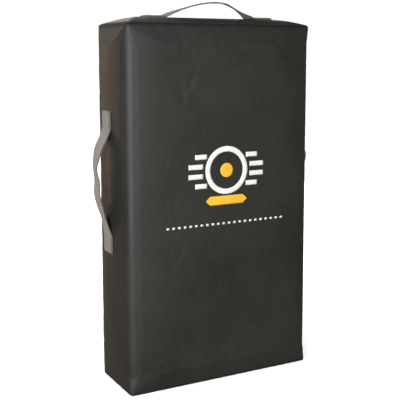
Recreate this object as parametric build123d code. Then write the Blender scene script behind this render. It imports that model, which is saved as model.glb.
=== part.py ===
"""A rectangular kick shield: a layered foam block in a sewn synthetic-leather cover.

Millimetres. The origin is the centre of the flat bottom that the shield stands on. +Z is up,
the strike face looks along -Y and the holder stands on the +Y side. Every soft face bows out a
little, so the cover, the foam and all that is sewn on are layers of one crowned block.
"""
from build123d import *
import os
from functools import lru_cache
from math import radians, sin

os.makedirs("parts", exist_ok=True)

# ---------------------------------------------------------------- driving dimensions
# The block, from seam to seam, and how far each face bows out past its seams.
cover_width = 340.0
cover_depth = 120.0
cover_height = 598.0
top_crown = 12.0
side_crown = 8.0
front_crown = 5.0
back_crown = 3.0
crown_shoulder = 60.0
crown_spare = 1.5
front_edge_radius = 18.0
back_edge_radius = 5.0

# Layers, from the outside in.
leather_thickness = 1.2
seam_turn = 2.5
strike_foam_thickness = 20.0
back_foam_thickness = 15.0

# Webbing handles and what holds them.
webbing_thickness = 2.2
thread_width = 0.8
thread_height = 0.4
stitch_margin = 3.5
patch_thickness = 1.0
patch_margin = 5.0
flex_gap = 0.3
swing_clearance = 0.5
fold_radius = 6.0

handle_width = 36.0
handle_swing = 35.0
top_handle_shift = 3.0
top_handle_span = 169.0
top_handle_rise = 25.0
top_anchor_length = 34.0
side_handle_span = 174.0
side_handle_rise = 22.0
side_anchor_length = 30.0
side_handle_height = 343.0
side_handle_setback = 8.0

arm_strap_width = 50.0
arm_strap_swing = 55.0
arm_strap_rise = 58.0
arm_anchor_length = 42.0
arm_strap_edge_distance = 22.0
patch_to_tape = 3.0
upper_arm_strap_height = 420.0
lower_arm_strap_height = 205.0

# The loops bow as worn webbing does. Each pair is a share of the span and of the rise.
top_loop = [(0, 0), (0.38, 0.80), (0.57, 1.0), (0.70, 1.0), (1, 0)]
side_loop = [(0, 0), (0.32, 0.84), (0.50, 0.82), (0.64, 1.0), (1, 0)]
arm_loop = [(0, 0), (0.16, 0.66), (0.36, 1.0), (0.64, 1.0), (0.84, 0.66), (1, 0)]
loop_radius = 22.0

# The zip in the back, through which the foam block goes in.
zip_end_distance = 49.0
zip_edge_distance = 30.0
zip_slot_width = 10.0
tape_width = 14.0
tape_thickness = 0.6
coil_width = 2.4
coil_height = 1.5
coil_gap = 0.9
zip_stitch_distance = 9.0
stop_length = 4.0
slider_length = 14.0
slider_plate = 1.2
slider_clearance = 0.3
flange_width = 1.0
lug_width = 1.2
pin_radius = 0.6
pin_clearance = 0.1
pull_length = 26.0
pull_width = 7.0
pull_thickness = 1.2
pull_eye_width = 3.4

# The heat-pressed print on the strike face: a plain target and bars, without any lettering.
film_thickness = 0.25
print_centre = (4.0, 360.0)
ring_radius = 40.0
ring_width = 9.0
bullseye_radius = 12.0
bar_height = 8.0
bar_pitch = 16.0
bar_reach = 77.0
bar_step = 12.0
bar_gap = 5.0
plate_width = 78.0
plate_height = 15.0
plate_drop = 50.0
tick_count = 22
tick_width = 5.0
tick_height = 3.5
tick_row_width = 222.0
tick_drop = 89.0

far = 2000.0


# ---------------------------------------------------------------- the crowned block
def crowned_edge(start, end, crown):
    """One side of a counter-clockwise outline, rising to its crown over a shoulder at each end."""
    start, end = Vector(*start), Vector(*end)
    if crown == 0:
        return [Line(start, end)]
    length = (end - start).length
    along = (end - start) / length
    outward = Vector(along.Y, -along.X)
    shoulder = min(crown_shoulder, length / 2)
    rise = start + along * shoulder + outward * crown
    fall = end - along * shoulder + outward * crown
    edges = [TangentArc(rise, start, tangent=along * -1), TangentArc(fall, end, tangent=along)]
    if length > 2 * shoulder:
        edges.append(Line(rise, fall))
    return edges


def crowned_outline(left, low, right, high, crowns):
    """A closed outline on four corners. The crowns are those of the low, right, high and left sides."""
    corners = [(left, low), (right, low), (right, high), (left, high)]
    edges = []
    for index, crown in enumerate(crowns):
        edges += crowned_edge(corners[index], corners[(index + 1) % 4], crown)
    return make_face(Curve() + edges)


def rounded(outline, corners, radius):
    """The outline with the named corners filleted."""
    vertices = [outline.vertices().sort_by_distance(Vector(*corner))[0] for corner in corners]
    return fillet(vertices, radius)


@lru_cache(maxsize=None)
def block(grow):
    """The whole crowned block, grown outward by a distance, or shrunk where it is negative.

    It is what three outlines have in common. The crest of each face is set by one outline, and
    the other outline that bounds the face stands higher by crown_spare, so that the two cross.
    """
    x, y = cover_width / 2 + grow, cover_depth / 2 + grow
    low, high = -grow, cover_height + grow
    plan = crowned_outline(-x, -y, x, y, (front_crown, side_crown, back_crown, side_crown))
    plan = rounded(plan, [(-x, -y), (x, -y)], front_edge_radius + grow)
    plan = rounded(plan, [(-x, y), (x, y)], back_edge_radius + grow)
    long_side = side_crown + crown_spare
    face_on = crowned_outline(-x, low, x, high, (0, long_side, top_crown + crown_spare, long_side))
    long_back, long_front = back_crown + crown_spare, front_crown + crown_spare
    side_on = crowned_outline(-y, low, y, high, (0, long_back, top_crown, long_front))
    upright = extrude(plan, far / 2, both=True)
    through = extrude(Plane.XZ * face_on, far / 2, both=True)
    across = extrude(Plane.YZ * side_on, far / 2, both=True)
    return upright & through & across


def layer(outer, inner):
    """The skin between the block grown by outer and the block grown by inner."""
    return block(outer) - block(inner)


def span_box(x, y, z):
    """A box from three pairs of limits."""
    size = (x[1] - x[0], y[1] - y[0], z[1] - z[0])
    centre = ((x[0] + x[1]) / 2, (y[0] + y[1]) / 2, (z[0] + z[1]) / 2)
    return Pos(*centre) * Box(*size)


def group(shapes):
    """Several separate solids as one node."""
    solids = []
    for shape in shapes:
        solids += shape.solids()
    return Compound(children=solids) if len(solids) > 1 else solids[0]


def write(shape, name):
    """One STEP file, whose name is the node's."""
    shape.label = name
    export_step(shape, f"parts/{name}.step")


# ---------------------------------------------------------------- faces that carry webbing
# Each face is a plane on its crest: x runs along the webbing, z points out of the shield.
half_depth = cover_depth / 2
crest = cover_height + top_crown
top_face = Plane((top_handle_shift, 0, crest), x_dir=(1, 0, 0), z_dir=(0, 0, 1))
left_face = Plane(
    (-cover_width / 2 - side_crown, side_handle_setback, side_handle_height),
    x_dir=(0, 0, 1),
    z_dir=(-1, 0, 0),
)
right_face = Plane(
    (cover_width / 2 + side_crown, side_handle_setback, side_handle_height),
    x_dir=(0, 0, 1),
    z_dir=(1, 0, 0),
)


# An arm strap reaches from near the left edge to the zip's inner tape.
zip_x = cover_width / 2 - zip_edge_distance
arm_strap_left = -cover_width / 2 + arm_strap_edge_distance
arm_strap_right = zip_x - coil_gap / 2 - tape_width - patch_to_tape - patch_margin
arm_strap_span = arm_strap_right - arm_strap_left - 2 * arm_anchor_length


def back_face(height):
    """The plane of an arm strap on the back."""
    origin = ((arm_strap_left + arm_strap_right) / 2, half_depth + back_crown, height)
    return Plane(origin, x_dir=(1, 0, 0), z_dir=(0, 1, 0))


def pivot_height(width, swing):
    """How far above the crest a loop hinges, so that its edges clear the cover at full swing."""
    return width / 2 * sin(radians(swing)) + webbing_thickness + swing_clearance


def leg_crossing(loop, span, rise, height):
    """Distances along the span where the first and last legs of a loop reach a height."""
    (_, _), (first_u, first_v) = loop[0], loop[1]
    (last_u, last_v), (_, _) = loop[-2], loop[-1]
    start = span * (first_u * height / (first_v * rise) - 0.5)
    end = span * (0.5 - (1 - last_u) * height / (last_v * rise))
    return start, end


def webbing_loop(face, width, loop, span, rise):
    """The bowed webbing, with a short foot on the crest at each end that stops at the sewing."""
    path = [(-span / 2 - stitch_margin, 0)]
    path += [(span * (u - 0.5), rise * v) for u, v in loop]
    path += [(span / 2 + stitch_margin, 0)]
    radii = [fold_radius] + [loop_radius] * (len(loop) - 2) + [fold_radius]
    line = FilletPolyline(*path, radius=radii)
    band = offset(line, amount=webbing_thickness, side=Side.LEFT, closed=True)
    section = make_face(band)
    upright = Plane(face.origin, x_dir=face.x_dir, z_dir=face.x_dir.cross(face.z_dir))
    return extrude(upright * section, width / 2, both=True)


def face_prism(face, sketch, depth):
    """A prism through the skin under a sketch that is drawn on a face."""
    return extrude(face * sketch, depth, both=True)


def anchor_places(span, anchor_length):
    """The middle of each sewn end, along the webbing."""
    offset_along = (span + anchor_length) / 2
    return [-offset_along, offset_along]


def box_stitch(length, width):
    """Sewing lines round a sewn end and from corner to corner."""
    outer = Rectangle(length, width)
    frame = outer - Rectangle(length - 2 * thread_width, width - 2 * thread_width)
    diagonal = (length**2 + width**2) ** 0.5
    angle = Vector(length, width).get_angle(Vector(1, 0))
    for turn in (angle, -angle):
        frame += Rot(0, 0, turn) * Rectangle(diagonal, thread_width) & outer
    return frame


def make_strap(name, face, width, swing, loop, span, rise, anchor_length):
    """A webbing handle: two sewn ends, the loop that swings, the sewing and the backing patches."""
    height = pivot_height(width, swing)
    start, end = leg_crossing(loop, span, rise, height)
    reach = top_crown + side_crown
    band = webbing_loop(face, width, loop, span, rise)
    middle = face_prism(face, Pos((start + end) / 2, 0) * Rectangle(end - start, 2 * width), far / 4)
    grip = face_prism(
        face, Pos((start + end) / 2, 0) * Rectangle(end - start - 2 * flex_gap, 2 * width), far / 4
    )
    places = anchor_places(span, anchor_length)
    pads = [
        layer(webbing_thickness, 0)
        & face_prism(face, Pos(place, 0) * Rectangle(anchor_length, width), reach)
        for place in places
    ]
    risers = (band - middle - block(0)).solids().sort_by(Axis(face.origin, face.x_dir))
    ends = [pad + riser for pad, riser in zip(pads, risers)]
    write(group(ends), f"{name}_sewn_ends")
    write(group([band & grip]), f"{name}_loop")

    sewing = box_stitch(anchor_length - 2 * stitch_margin, width - 2 * stitch_margin)
    threads = [
        layer(webbing_thickness + thread_height, webbing_thickness)
        & face_prism(face, Pos(place, 0) * sewing, reach)
        for place in places
    ]
    write(group([thread - band for thread in threads]), f"{name}_stitching")

    patch = Rectangle(anchor_length + 2 * patch_margin, width + 2 * patch_margin)
    patches = [
        layer(-leather_thickness, -leather_thickness - patch_thickness)
        & face_prism(face, Pos(place, 0) * patch, reach)
        for place in places
    ]
    write(group(patches), f"{name}_backing_patches")
    return patches


# ---------------------------------------------------------------- webbing handles
handle = (handle_width, handle_swing)
side_handle = (side_loop, side_handle_span, side_handle_rise, side_anchor_length)
arm_strap = (arm_strap_width, arm_strap_swing, arm_loop, arm_strap_span, arm_strap_rise, arm_anchor_length)

patches = make_strap(
    "top_handle", top_face, *handle, top_loop, top_handle_span, top_handle_rise, top_anchor_length
)
patches += make_strap("left_handle", left_face, *handle, *side_handle)
patches += make_strap("right_handle", right_face, *handle, *side_handle)
patches += make_strap("upper_arm_strap", back_face(upper_arm_strap_height), *arm_strap)
patches += make_strap("lower_arm_strap", back_face(lower_arm_strap_height), *arm_strap)


# ---------------------------------------------------------------- zip
# The coils lie on the tapes, which are sewn under the two edges of the slot in the back.
zip_low = zip_end_distance
zip_high = cover_height - zip_end_distance
coil_reach = coil_gap / 2 + coil_width
slider_reach = coil_reach + slider_clearance + flange_width
behind = (0, far)
tape_layer = layer(-leather_thickness, -leather_thickness - tape_thickness)
coil_layer = layer(coil_height - leather_thickness, -leather_thickness)
tapes = []
top_stops = []
for side, edge in (("inner", -1), ("outer", 1)):
    near = zip_x + edge * coil_gap / 2
    tape_limits = sorted((near, near + edge * tape_width))
    coil_limits = sorted((near, near + edge * coil_width))
    tape = tape_layer & span_box(tape_limits, behind, (zip_low, zip_high))
    coil_span = (zip_low + stop_length, zip_high - stop_length)
    tapes.append(tape)
    top_stops.append(coil_layer & span_box(coil_limits, behind, (zip_high - stop_length, zip_high)))
    write(group([tape]), f"zip_{side}_tape")
    write(group([coil_layer & span_box(coil_limits, behind, coil_span)]), f"zip_{side}_coil")
write(group(top_stops), "zip_top_stops")
stop_limits = (zip_x - coil_reach, zip_x + coil_reach)
bottom_stop = coil_layer & span_box(stop_limits, behind, (zip_low, zip_low + stop_length))
write(group([bottom_stop]), "zip_bottom_stop")

# The slider is parked at the bottom, where the zip is closed. It clears the coils and the tapes.
slider_z = (zip_low + stop_length, zip_low + stop_length + slider_length)
slider_x = (zip_x - slider_reach, zip_x + slider_reach)
coils_beside = (coil_layer & span_box(stop_limits, behind, slider_z)).bounding_box()
tapes_beside = (tape_layer & span_box(slider_x, behind, slider_z)).bounding_box()
plate_low = coils_beside.max.Y + slider_clearance
plate_high = plate_low + slider_plate
keeper_high = tapes_beside.min.Y - slider_clearance
keeper_low = keeper_high - slider_plate
pin_y = plate_high + pull_thickness / 2 + slider_clearance + pin_radius
pin_z = slider_z[0] + slider_length / 2
post_half = coil_gap / 2 - slider_clearance / 2
lug_x = pull_eye_width / 2 + pin_clearance
lug_half = pin_radius + lug_width

slider = span_box(slider_x, (plate_low, plate_high), slider_z)
slider += span_box(slider_x, (keeper_low, keeper_high), slider_z)
post_z = (pin_z - slider_length / 4, pin_z + slider_length / 4)
slider += span_box((zip_x - post_half, zip_x + post_half), (keeper_low, plate_high), post_z)
for edge in (-1, 1):
    flange = sorted((zip_x + edge * (slider_reach - flange_width), zip_x + edge * slider_reach))
    slider += span_box(flange, (tapes_beside.max.Y + slider_clearance, plate_high), slider_z)
    lug = sorted((zip_x + edge * lug_x, zip_x + edge * (lug_x + lug_width)))
    slider += span_box(lug, (plate_low, pin_y + lug_half), (pin_z - lug_half, pin_z + lug_half))
pin_axis = Plane((zip_x, pin_y, pin_z), x_dir=(0, 1, 0), z_dir=(1, 0, 0))
slider += extrude(pin_axis * Circle(pin_radius), lug_x + lug_width, both=True)
write(group([slider]), "zip_slider")

# The pull hangs from the slider's pin by its eye.
eye_radius = pin_radius + pin_clearance + pull_thickness / 2
eye = extrude(pin_axis * Circle(eye_radius), pull_eye_width / 2, both=True)
neck_z = (pin_z - 2 * lug_half, pin_z)
pull_y = (pin_y - pull_thickness / 2, pin_y + pull_thickness / 2)
pull = eye + span_box((zip_x - pull_eye_width / 2, zip_x + pull_eye_width / 2), pull_y, neck_z)
tab_z = (pin_z - pull_length, pin_z - 2 * lug_half)
pull += span_box((zip_x - pull_width / 2, zip_x + pull_width / 2), pull_y, tab_z)
pull -= extrude(pin_axis * Circle(pin_radius + pin_clearance), pull_eye_width, both=True)
write(group([pull]), "zip_pull")

zip_sewing = layer(thread_height, 0) & (
    span_box(
        (zip_x - zip_stitch_distance - thread_width, zip_x - zip_stitch_distance),
        behind,
        (zip_low, zip_high),
    )
    + span_box(
        (zip_x + zip_stitch_distance, zip_x + zip_stitch_distance + thread_width),
        behind,
        (zip_low, zip_high),
    )
)
write(group([zip_sewing]), "zip_stitching")


# ---------------------------------------------------------------- cover
# The front wrap turns round both long edges. The other panels are sewn into its rim, and each
# turns over the edge of the block by a little before its seam.
shell = layer(0, -leather_thickness)
seam_top = cover_height - seam_turn
seam_back = half_depth - seam_turn
all_round = (-far, far)
top_panel = shell & span_box(all_round, all_round, (seam_top, far))
bottom_panel = shell & span_box(all_round, all_round, (-far, seam_turn))
ring = shell & span_box(all_round, all_round, (seam_turn, seam_top))
back_ring = ring & span_box(all_round, (seam_back, far), all_round)
front_wrap = ring & span_box(all_round, (-far, seam_back), all_round)
zip_slot = span_box(
    (zip_x - zip_slot_width / 2, zip_x + zip_slot_width / 2), behind, (zip_low, zip_high)
)
back_main = (back_ring & span_box((-far, zip_x), behind, all_round)) - zip_slot
back_strip = (back_ring & span_box((zip_x, far), behind, all_round)) - zip_slot
write(group([front_wrap]), "front_wrap_panel")
write(group([top_panel]), "top_panel")
write(group([bottom_panel]), "bottom_panel")
write(group([back_main]), "back_main_panel")
write(group([back_strip]), "back_zip_strip")


# ---------------------------------------------------------------- foam block
# The layers are bonded face to face. Pockets take the patches, the tapes and the slider's keeper.
foam = block(-leather_thickness)
for inlay in patches + tapes:
    foam -= inlay
channel_reach = slider_reach + slider_clearance
foam -= span_box(
    (zip_x - channel_reach, zip_x + channel_reach),
    (keeper_low - slider_clearance, far),
    (zip_low, zip_high),
)
front_of_core = -half_depth + strike_foam_thickness
back_of_core = half_depth - back_foam_thickness
middle_of_core = (front_of_core + back_of_core) / 2
foam_cuts = [
    ("strike_foam_layer", -far, front_of_core),
    ("front_core_foam", front_of_core, middle_of_core),
    ("rear_core_foam", middle_of_core, back_of_core),
    ("back_foam_layer", back_of_core, far),
]
for name, near, away in foam_cuts:
    write(group([foam & span_box(all_round, (near, away), all_round)]), name)


# ---------------------------------------------------------------- print on the strike face
def target_ring():
    """The white ring and the stacked bars on each side of it."""
    marks = [Circle(ring_radius) - Circle(ring_radius - ring_width)]
    for row in range(4):
        height = (row - 1.5) * bar_pitch
        near = (max(ring_radius**2 - height**2, 0)) ** 0.5 + bar_gap
        away = bar_reach - abs(row - 1.5) * bar_step
        for edge in (-1, 1):
            marks.append(Pos(edge * (near + away) / 2, height) * Rectangle(away - near, bar_height))
    return marks


def tick_row():
    """The row of small blocks under the target."""
    pitch = (tick_row_width - tick_width) / (tick_count - 1)
    start = (tick_width - tick_row_width) / 2
    places = [Pos(start + index * pitch, -tick_drop) for index in range(tick_count)]
    return [place * Rectangle(tick_width, tick_height) for place in places]


def yellow_marks():
    """The bullseye and the plate under it, a bar with pointed ends."""
    x, y = plate_width / 2, plate_height / 2
    plate = make_face(Polyline((-x, 0), (y - x, y), (x - y, y), (x, 0), (x - y, -y), (y - x, -y), close=True))
    return [Circle(bullseye_radius), Pos(0, -plate_drop) * plate]


print_plane = Plane((print_centre[0], -half_depth, print_centre[1]), x_dir=(1, 0, 0), z_dir=(0, -1, 0))
film_layer = layer(film_thickness, 0)
for name, marks in (("white_print", target_ring() + tick_row()), ("yellow_print", yellow_marks())):
    films = [film_layer & extrude(print_plane * mark, half_depth / 2, both=True) for mark in marks]
    write(group(films), name)
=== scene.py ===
"""A kick shield: a foam block in a sewn cover of black coated fabric, with webbing handles.

Metres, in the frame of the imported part: +Z is up, the strike face looks along -Y, and the block
stands on its flat bottom. The sections follow the shield as it is put together.
"""
import math
from contextlib import contextmanager
from functools import partial

import bmesh
import bpy
import numpy as np
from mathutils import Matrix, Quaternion, Vector, noise
from mathutils.bvhtree import BVHTree
from mathutils.kdtree import KDTree


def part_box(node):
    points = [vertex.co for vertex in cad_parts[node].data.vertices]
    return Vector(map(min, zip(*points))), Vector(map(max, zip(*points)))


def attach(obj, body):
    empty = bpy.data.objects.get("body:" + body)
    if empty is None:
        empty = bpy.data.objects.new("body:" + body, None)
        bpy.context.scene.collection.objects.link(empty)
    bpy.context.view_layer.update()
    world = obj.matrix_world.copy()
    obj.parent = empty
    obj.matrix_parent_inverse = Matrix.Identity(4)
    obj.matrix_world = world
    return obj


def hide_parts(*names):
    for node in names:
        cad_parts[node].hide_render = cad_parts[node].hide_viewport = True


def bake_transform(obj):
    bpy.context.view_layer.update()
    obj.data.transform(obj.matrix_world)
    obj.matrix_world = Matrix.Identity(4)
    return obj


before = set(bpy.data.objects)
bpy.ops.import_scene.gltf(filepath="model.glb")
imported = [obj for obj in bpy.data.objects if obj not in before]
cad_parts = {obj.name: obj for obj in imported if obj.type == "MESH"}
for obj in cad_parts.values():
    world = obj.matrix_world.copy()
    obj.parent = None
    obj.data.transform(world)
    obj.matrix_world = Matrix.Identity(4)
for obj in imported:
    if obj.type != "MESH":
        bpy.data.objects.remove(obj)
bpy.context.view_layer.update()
scene = bpy.context.scene

# ---------------------------------------------------------------- camera
# A fairly long lens a little above the middle of the shield, turned to show the left side. It is
# shifted down rather than tilted further, which keeps the uprights nearly parallel.
def place_object(name, data):
    """A new object in the scene."""
    made = bpy.data.objects.new(name, data)
    scene.collection.objects.link(made)
    return made


camera_data = bpy.data.cameras.new("camera")
camera = place_object("camera", camera_data)
scene.camera = camera
camera_azimuth, camera_elevation, camera_roll = -28.162, 7.411, -0.113
camera.location = (-0.6653, -1.2218, 0.5455)
azimuth, elevation = math.radians(camera_azimuth), math.radians(camera_elevation)
camera_back = Vector(
    (
        math.sin(azimuth) * math.cos(elevation),
        -math.cos(azimuth) * math.cos(elevation),
        math.sin(elevation),
    )
)
camera.rotation_mode = "QUATERNION"
level = (-camera_back).to_track_quat("-Z", "Y")
camera.rotation_quaternion = level @ Quaternion((0, 0, 1), math.radians(camera_roll))
camera_data.sensor_width = 36
camera_data.lens = 73.35
camera_data.shift_y = -0.0925

# ---------------------------------------------------------------- studio
# A white floor in white surroundings. A tall soft box on the left models the rounded edge, one in
# front lights the strike face, and weaker ones above, behind and on the right show the other sides.
scene.view_settings.view_transform = "Standard"


def add_node(tree, kind, inputs=None, **settings):
    """A node with some of its inputs and properties set. Inputs are given by index or by name."""
    made = tree.nodes.new(kind)
    for key, value in (inputs or {}).items():
        made.inputs[key].default_value = value
    for key, value in settings.items():
        setattr(made, key, value)
    return made


def link_all(tree, *pairs):
    """Joins outputs to inputs, or sets an input to a plain value."""
    for source, target in pairs:
        if isinstance(source, bpy.types.NodeSocket):
            tree.links.new(source, target)
        else:
            target.default_value = source


def math_node(tree, operation, first, second=0.0):
    """A Math node's result. Either operand is a socket or a number."""
    made = add_node(tree, "ShaderNodeMath", operation=operation)
    link_all(tree, (first, made.inputs[0]), (second, made.inputs[1]))
    return made.outputs[0]


def mix_colours(tree, factor, first, second):
    """A colour between two, by a mask. Either colour is a socket or three numbers."""
    made = add_node(tree, "ShaderNodeMix", data_type="RGBA")
    for source, label in ((first, "A"), (second, "B")):
        is_socket = isinstance(source, bpy.types.NodeSocket)
        link_all(tree, (source if is_socket else (*source, 1), made.inputs[label]))
    tree.links.new(factor, made.inputs["Factor"])
    return made.outputs["Result"]


def place_on_object(tree, *patterns):
    """Lays patterns out by Object coordinates."""
    place = add_node(tree, "ShaderNodeTexCoord")
    for pattern in patterns:
        tree.links.new(place.outputs["Object"], pattern.inputs["Vector"])
    return place


def new_material(name, roughness=0.5, specular=0.5, **sockets):
    """A material with a Principled shader whose constant sockets are set directly."""
    material = bpy.data.materials.new(name)
    material.use_nodes = True
    shader = material.node_tree.nodes["Principled BSDF"]
    shader.inputs["Roughness"].default_value = roughness
    shader.inputs["Specular IOR Level"].default_value = specular
    for label, value in sockets.items():
        shader.inputs[label.replace("_", " ")].default_value = value
    return material, material.node_tree, shader


# The floor glows to white away from the shield, and only where it is seen, so that it throws no
# light of its own on the cover.
floor_reach = 6.0
glow_start, glow_end, near_glow, far_glow = 0.25, 0.9, 0.45, 1.1
bounce_colour, seen_colour = (0.30, 0.26, 0.21), (0.9, 0.9, 0.9)
floor_signs = ((-1, -1), (1, -1), (1, 1), (-1, 1))
floor_corners = [(x * floor_reach, y * floor_reach, 0) for x, y in floor_signs]
floor_mesh = bpy.data.meshes.new("floor")
floor_mesh.from_pydata(floor_corners, [], [(0, 1, 2, 3)])
floor = place_object("floor", floor_mesh)
floor_paint, floor_tree, floor_shader = new_material(
    "studio_floor", 0.9, 0.1, Emission_Color=(1, 1, 1, 1)
)
floor_seen = add_node(floor_tree, "ShaderNodeLightPath").outputs["Is Camera Ray"]
floor_distance = add_node(floor_tree, "ShaderNodeVectorMath", operation="LENGTH")
place_on_object(floor_tree, floor_distance)
floor_glow = add_node(
    floor_tree,
    "ShaderNodeMapRange",
    inputs={"From Min": glow_start, "From Max": glow_end, "To Min": near_glow, "To Max": far_glow},
)
floor_light = math_node(floor_tree, "MULTIPLY", floor_glow.outputs[0], floor_seen)
floor_colour = mix_colours(floor_tree, floor_seen, bounce_colour, seen_colour)
link_all(
    floor_tree,
    (floor_distance.outputs["Value"], floor_glow.inputs["Value"]),
    (floor_colour, floor_shader.inputs["Base Color"]),
    (floor_light, floor_shader.inputs["Emission Strength"]),
)
floor_mesh.materials.append(floor_paint)

backdrop_strength, room_strength, room_colour = 1.06, 0.085, (1, 0.92, 0.82, 1)
world = bpy.data.worlds.new("studio")
scene.world = world
world.use_nodes = True
world_tree = world.node_tree
backdrop = world_tree.nodes["Background"]
room = add_node(
    world_tree, "ShaderNodeBackground", inputs={"Color": room_colour, "Strength": room_strength}
)
world_seen = add_node(world_tree, "ShaderNodeLightPath")
world_mix = add_node(world_tree, "ShaderNodeMixShader")
link_all(
    world_tree,
    ((1, 1, 1, 1), backdrop.inputs["Color"]),
    (backdrop_strength, backdrop.inputs["Strength"]),
    (world_seen.outputs["Is Camera Ray"], world_mix.inputs["Fac"]),
    (room.outputs[0], world_mix.inputs[1]),
    (backdrop.outputs[0], world_mix.inputs[2]),
    (world_mix.outputs[0], world_tree.nodes["World Output"].inputs["Surface"]),
)

# Each soft box: its place, size in metres, watts and colour.
lit_point = Vector((0, 0, 0.3))
soft_boxes = {
    "left_soft_box": ((-1.36, -1.18, 0.74), (0.7, 1.46), 50, (0.93, 0.97, 1)),
    "front_soft_box": ((-0.25, -2.1, 0.62), (0.7, 1.22), 20, (0.96, 1, 0.97)),
    "top_soft_box": ((-0.2, 0.1, 2.2), (1.6, 1.2), 5, (1, 0.93, 0.88)),
    "back_soft_box": ((0.0, 2.0, 1.5), (1.4, 0.9), 16, (1, 0.95, 0.9)),
    "rear_left_soft_box": ((-0.95, 1.9, 0.5), (0.8, 1.2), 6, (1, 0.72, 0.5)),
    "right_soft_box": ((1.8, -0.3, 0.6), (0.6, 1.2), 1.6, (1, 0.78, 0.6)),
    "rear_right_soft_box": ((1.5, 1.5, 0.55), (1.1, 1.1), 32, (1, 0.97, 0.93)),
}
for name, (place, size, watts, colour) in soft_boxes.items():
    light = bpy.data.lights.new(name, "AREA")
    light.shape, light.energy, light.color = "RECTANGLE", watts, colour
    light.size, light.size_y = size
    lamp = place_object(name, light)
    lamp.location = place
    lamp.rotation_mode = "QUATERNION"
    lamp.rotation_quaternion = (lit_point - Vector(place)).to_track_quat("-Z", "Y")


# ---------------------------------------------------------------- cover
# Black polyurethane-coated fabric, 1.2 mm thick. One wrap makes the strike face and both sides;
# the top, the bottom and the two back panels are sewn into its rim and pull it in at the seams.
def new_group(name, sizes, results):
    """A shader node group that takes named sizes and puts out named heights or masks."""
    tree = bpy.data.node_groups.new(name, "ShaderNodeTree")
    number = "NodeSocketFloat"
    for label, value in sizes.items():
        tree.interface.new_socket(label, in_out="INPUT", socket_type=number).default_value = value
    for label in results:
        tree.interface.new_socket(label, in_out="OUTPUT", socket_type=number)
    return tree, tree.nodes.new("NodeGroupInput"), tree.nodes.new("NodeGroupOutput")


def place_group(tree, group, **values):
    """One use of a shared group, with its own values."""
    made = add_node(tree, "ShaderNodeGroup", node_tree=group)
    for label, value in values.items():
        made.inputs[label.replace("_", " ")].default_value = value
    return made


def vary(tree, factor, low, high):
    """A number that runs from low to high as a mask does."""
    made = add_node(tree, "ShaderNodeMapRange", inputs={"To Min": low, "To Max": high})
    tree.links.new(factor, made.inputs["Value"])
    return made.outputs[0]


def raise_surface(tree, shader, height, distance, strength=1.0):
    """Bump from a height, in metres."""
    bump = add_node(tree, "ShaderNodeBump", inputs={"Distance": distance, "Strength": strength})
    tree.links.new(height, bump.inputs["Height"])
    tree.links.new(bump.outputs["Normal"], shader.inputs["Normal"])


def colour_surface(tree, shader, mask, dark, light, gloss=None):
    """Base colour by a mask, and roughness too where gloss gives its mask and its two ends."""
    tree.links.new(mix_colours(tree, mask, dark, light), shader.inputs["Base Color"])
    if gloss:
        tree.links.new(vary(tree, *gloss), shader.inputs["Roughness"])


# Grain of embossed coated fabric: flat pebbles a little over a millimetre across, with creases.
grain_tree, grain_in, grain_out = new_group(
    "leather_grain", {"Pebbles per metre": 700, "Crease depth": 0.5}, ["Height"]
)
grain_cells = add_node(grain_tree, "ShaderNodeTexVoronoi", feature="DISTANCE_TO_EDGE")
grain_warp = add_node(grain_tree, "ShaderNodeTexNoise", inputs={"Scale": 1400.0, "Detail": 2.0})
grain_soft = add_node(grain_tree, "ShaderNodeMapRange", inputs={"From Max": 0.28, "To Max": 1.0})
place_on_object(grain_tree, grain_cells, grain_warp)
grain_creases = grain_in.outputs["Crease depth"]
grain_depth = math_node(grain_tree, "MULTIPLY", grain_soft.outputs[0], grain_creases)
grain_fine = math_node(grain_tree, "MULTIPLY", grain_warp.outputs["Fac"], 0.45)
link_all(
    grain_tree,
    (grain_in.outputs["Pebbles per metre"], grain_cells.inputs["Scale"]),
    (grain_cells.outputs["Distance"], grain_soft.inputs["Value"]),
    (math_node(grain_tree, "ADD", grain_depth, grain_fine), grain_out.inputs["Height"]),
)

# Handling marks: cloudy patches that are a little duller and paler than the clean surface.
marks_tree, marks_in, marks_out = new_group(
    "handling_marks", {"Patches per metre": 9, "Amount": 0.5}, ["Mask"]
)
marks_cloud = add_node(marks_tree, "ShaderNodeTexNoise", inputs={"Detail": 5.0, "Roughness": 0.62})
marks_speck = add_node(marks_tree, "ShaderNodeTexNoise", inputs={"Scale": 220.0, "Detail": 3.0})
marks_range = add_node(
    marks_tree, "ShaderNodeMapRange", inputs={"From Min": 0.38, "From Max": 0.72}
)
place_on_object(marks_tree, marks_cloud, marks_speck)
marks_fine = math_node(marks_tree, "MULTIPLY", marks_speck.outputs["Fac"], 0.3)
marks_patches = math_node(marks_tree, "ADD", marks_cloud.outputs["Fac"], marks_fine)
marks_mask = math_node(marks_tree, "MULTIPLY", marks_range.outputs[0], marks_in.outputs["Amount"])
link_all(
    marks_tree,
    (marks_in.outputs["Patches per metre"], marks_cloud.inputs["Scale"]),
    (marks_patches, marks_range.inputs["Value"]),
    (marks_mask, marks_out.inputs["Mask"]),
)

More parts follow.
